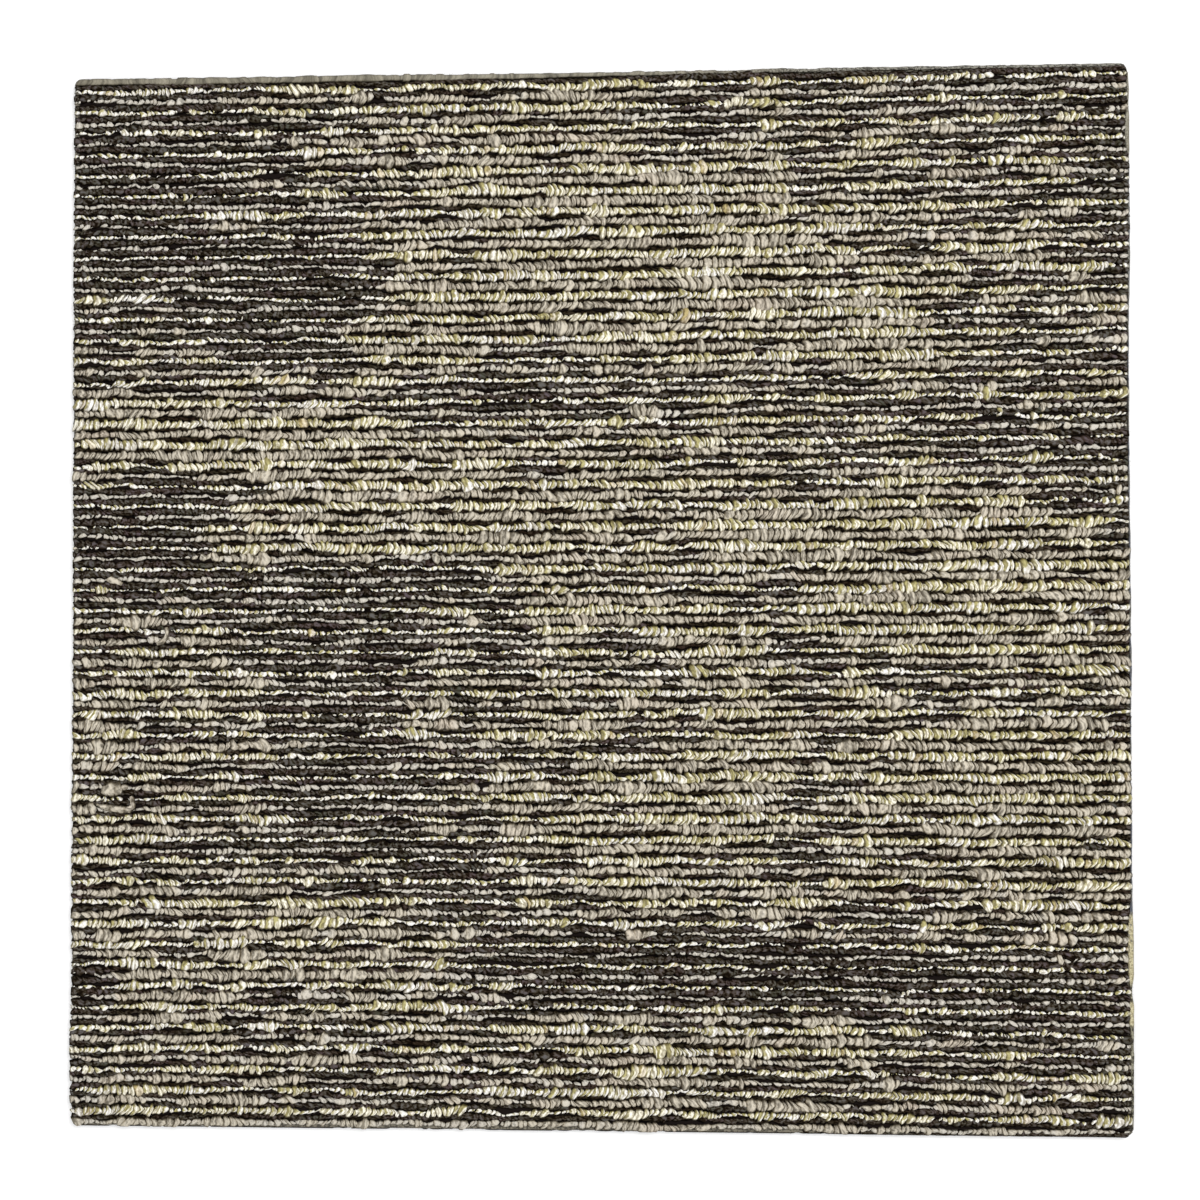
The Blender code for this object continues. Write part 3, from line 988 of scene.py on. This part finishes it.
def edge_strip_material():
    """Cloth and cut yarn: olive in two places near the near end, grey beige at the far end, else slate."""
    nodes = YarnNodes("edge_strip")
    where = nodes.place()
    y = nodes.add("SeparateXYZ", {0: where}).outputs[1]
    filaments = nodes.noise(where, 1400.0, 2.0)
    blotches = nodes.noise(where, 60.0, 2.0)
    slate, grey = (0.110, 0.118, 0.142), (0.17, 0.165, 0.14)
    colour = nodes.mix(nodes.ramp(blotches, 0.35, 0.65), slate, grey)
    tufts = nodes.noise(where, 420.0, 3.0, 0.7)
    fluff = nodes.mix(nodes.ramp(tufts, 0.42, 0.58), (0.06, 0.055, 0.042), (0.27, 0.255, 0.185))
    colour = nodes.mix(nodes.ramp(y, -0.172, -0.180), colour, fluff)
    bands = []
    for centre, full, gone in OLIVE_BANDS:
        away = nodes.maths("ABSOLUTE", nodes.plus(y, -centre))
        bands.append(nodes.ramp(away, full, gone, 1.0, 0.0))
    share = nodes.times(nodes.maths("MAXIMUM", *bands), nodes.ramp(tufts, 0.36, 0.44, 0.2, 1.0))
    olive = (0.48, 0.43, 0.27)
    colour = nodes.mix(share, colour, olive)
    beige = nodes.ramp(y, 0.200, 0.212, 0.0, 1.0)
    colour = nodes.mix(beige, colour, (0.25, 0.235, 0.185))
    # Painted shade on the strip's sides
    light = nodes.times(nodes.ramp(filaments, 0.3, 0.7, 0.55, 1.25), nodes.rim(0.6, 0.5))
    return nodes.finish(colour, light, 0.05, 0.95, 0.1, filaments, 0.0003)


STRIP_RINGS_A_LOOP = 2.0
STRIP_SPACING = 1.1 * MM  # between its rings


def make_edge_strip(rng):
    """The strip that shows past the rows' ends along the right edge."""
    y = np.arange(-HALF_WIDTH + 3.2 * MM, HALF_WIDTH - 3.2 * MM, STRIP_SPACING)
    inward, outward = strip_reach(y)
    outward = outward + 0.12 * MM * smoothed(rng.standard_normal(len(y)), 2.0)
    width = inward + outward
    limit = edge_at(y, HALF_LENGTH, HALF_WIDTH) + outward
    path = np.stack([limit - width / 2, y], axis=-1)
    height = 1.0 * MM + 0.25 * MM * smoothed(rng.standard_normal(len(y)), 1.5)
    tube = rounded_tube(path, width / 2, height + 0.5 * width, STITCH_TOP - 0.3 * MM)
    make_loose_tubes("edge_strip", edge_strip_material(), STRIP_RINGS_A_LOOP, [tube])


FIBRE_RADIUS = 0.07 * MM
FIBRES_AT_ROW_END = 9
FIBRE_SPACING = 0.9 * MM  # along the far and the near edge
BEIGE_TINT = (0.36, 0.32, 0.25)
CREAM_TINT = (0.62, 0.58, 0.42)
CHARCOAL_TINT = (0.035, 0.030, 0.025)


def fibre_starts(rng):
    """Where each cut fibre starts, which way it goes, and its colour."""
    first_y = HALF_WIDTH - 0.5 * PAIR_PITCH
    starts, ways, tints = [], [], []
    for row in range(2 * LIGHT_ROWS - 1):
        even_y = first_y - row * PAIR_PITCH / 2
        tint = (BEIGE_TINT, CHARCOAL_TINT, CREAM_TINT, CHARCOAL_TINT)[row % 4]
        for side in (-1, 1):
            y = even_y + row_drift(side * HALF_LENGTH, even_y)
            if abs(y) > HALF_WIDTH - 1 * MM:
                continue
            for _ in range(FIBRES_AT_ROW_END):
                place_y = y + rng.uniform(-1.1, 1.1) * MM
                edge = float(edge_at(place_y, HALF_LENGTH, HALF_WIDTH))
                x = side * (edge - rng.uniform(0.3, 0.9) * MM)
                starts.append((x, place_y, STITCH_TOP + rng.uniform(0.0, 1.7) * MM))
                ways.append((side * rng.uniform(0.3, 1.0), rng.uniform(-0.5, 0.5), rng.uniform(-0.5, 0.5)))
                tints.append(tint)
    for x in np.arange(-HALF_LENGTH + 3 * MM, HALF_LENGTH - 3 * MM, FIBRE_SPACING):
        for side in (-1, 1):
            y = side * (HALF_WIDTH - rng.uniform(0.3, 0.8) * MM)
            starts.append((x, y, STITCH_TOP + rng.uniform(0.0, 1.6) * MM))
            ways.append((rng.uniform(-0.6, 0.6), side * rng.uniform(0.3, 1.0), rng.uniform(-0.4, 0.5)))
            tints.append(BEIGE_TINT if rng.random() < 0.6 else CHARCOAL_TINT)
    return np.array(starts), np.array(ways), np.array(tints)


def fibre_material():
    nodes = Nodes("cut_fibres")
    tint = nodes.add("Attribute", attribute_name="yarn").outputs["Vector"]
    grain = nodes.noise(nodes.place(), 900.0, 1.0)
    colour = nodes.mix(nodes.ramp(grain, 0.3, 0.7), (0.05, 0.045, 0.035), tint)
    return nodes.surface(colour, 0.95)


def make_fringe(rng):
    """Short cut fibres that stand out of the four edges a little, each a three-sided spike."""
    starts, ways, tints = fibre_starts(rng)
    count = len(starts)
    ways *= (rng.uniform(0.5, 1.1, count) * MM / np.linalg.norm(ways, axis=1))[:, None]
    side = np.cross(ways, [0, 0, 1.0])
    side /= np.linalg.norm(side, axis=1)[:, None]
    up = np.cross(side, ways / np.linalg.norm(ways, axis=1)[:, None])
    points = np.empty((count, 4, 3))
    for corner in range(3):
        angle = corner * 2 * math.pi / 3
        points[:, corner] = starts + FIBRE_RADIUS * (math.cos(angle) * side + math.sin(angle) * up)
    points[:, 3] = starts + ways
    faces = np.array([[0, 1, 2], [0, 3, 1], [1, 3, 2], [2, 3, 0]])
    corners = (faces.ravel()[None, :] + 4 * np.arange(count)[:, None]).ravel()
    sizes = np.full(4 * count, 3)
    read = np.repeat(tints, 4, axis=0)
    piece = mesh_piece("cut_fibres", points.reshape(-1, 3), corners, sizes, fibre_material(), read)
    stand_for_pile(piece)


def dress_backing():
    nodes = Nodes("backing_moulded")
    where = nodes.place()
    grain = nodes.noise(where, 500.0, 4.0, 0.6)
    colour = nodes.mix(nodes.ramp(grain, 0.3, 0.7), (0.030, 0.030, 0.031), (0.060, 0.060, 0.062))
    nodes.surface(colour, 0.85)
    bump = nodes.add("Bump", {"Strength": 0.4, "Distance": 0.0004, "Height": grain})
    nodes.put(nodes.shader.inputs["Normal"], bump.outputs[0])
    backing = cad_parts["backing"]
    backing.data.materials.clear()
    backing.data.materials.append(nodes.material)


# Camera: almost straight above, a little towards the right and the near side
CAMERA_PLACE = (0.0500, -0.0167, 0.9476)
CAMERA_TARGET = (0.0023, -0.0004, 0.0)
CAMERA_ROLL = 0.0012  # radians
CAMERA_LENS = 60.0


def make_camera():
    camera = bpy.data.objects.new("camera", bpy.data.cameras.new("camera"))
    bpy.context.scene.collection.objects.link(camera)
    camera.data.lens = CAMERA_LENS
    backwards = (Vector(CAMERA_PLACE) - Vector(CAMERA_TARGET)).normalized()
    right = Vector((math.sin(CAMERA_ROLL), math.cos(CAMERA_ROLL), 0)).cross(backwards).normalized()
    upwards = backwards.cross(right)
    turn = Matrix((right, upwards, backwards)).transposed().to_4x4()
    camera.matrix_world = Matrix.Translation(CAMERA_PLACE) @ turn
    bpy.context.scene.camera = camera


def make_light(name, place, size, power):
    """A square light that shines on the middle of the tile."""
    light = bpy.data.lights.new(name, "AREA")
    light.shape = "SQUARE"
    light.size = size
    light.energy = power
    lamp = bpy.data.objects.new(name, light)
    bpy.context.scene.collection.objects.link(lamp)
    lamp.location = place
    lamp.rotation_euler = (-Vector(place)).to_track_quat("-Z", "Y").to_euler()


FLOOR_SIZE = 8
FLOOR_DROP = 0.3 * MM  # how far the floor lies under the tile
SKY_STRENGTH = 0.58


def make_stage():
    bpy.ops.mesh.primitive_plane_add(size=FLOOR_SIZE, location=(0, 0, -FLOOR_DROP))
    floor = bpy.context.object
    floor.name = "floor"
    nodes = Nodes("floor_white")
    floor.data.materials.append(nodes.surface((0.97, 0.97, 0.97), 0.9))

    world = bpy.data.worlds.new("studio")
    bpy.context.scene.world = world
    world.use_nodes = True
    background = world.node_tree.nodes["Background"]
    background.inputs["Color"].default_value = (1, 1, 1, 1)
    background.inputs["Strength"].default_value = SKY_STRENGTH
    make_light("key", (0.45, 0.35, 1.5), 0.9, 17)
    make_light("fill", (-0.7, -0.5, 1.5), 1.4, 7)
    bpy.context.scene.view_settings.view_transform = "Standard"


make_camera()
make_stage()
make_stitch_layer()
make_pile()
dress_backing()
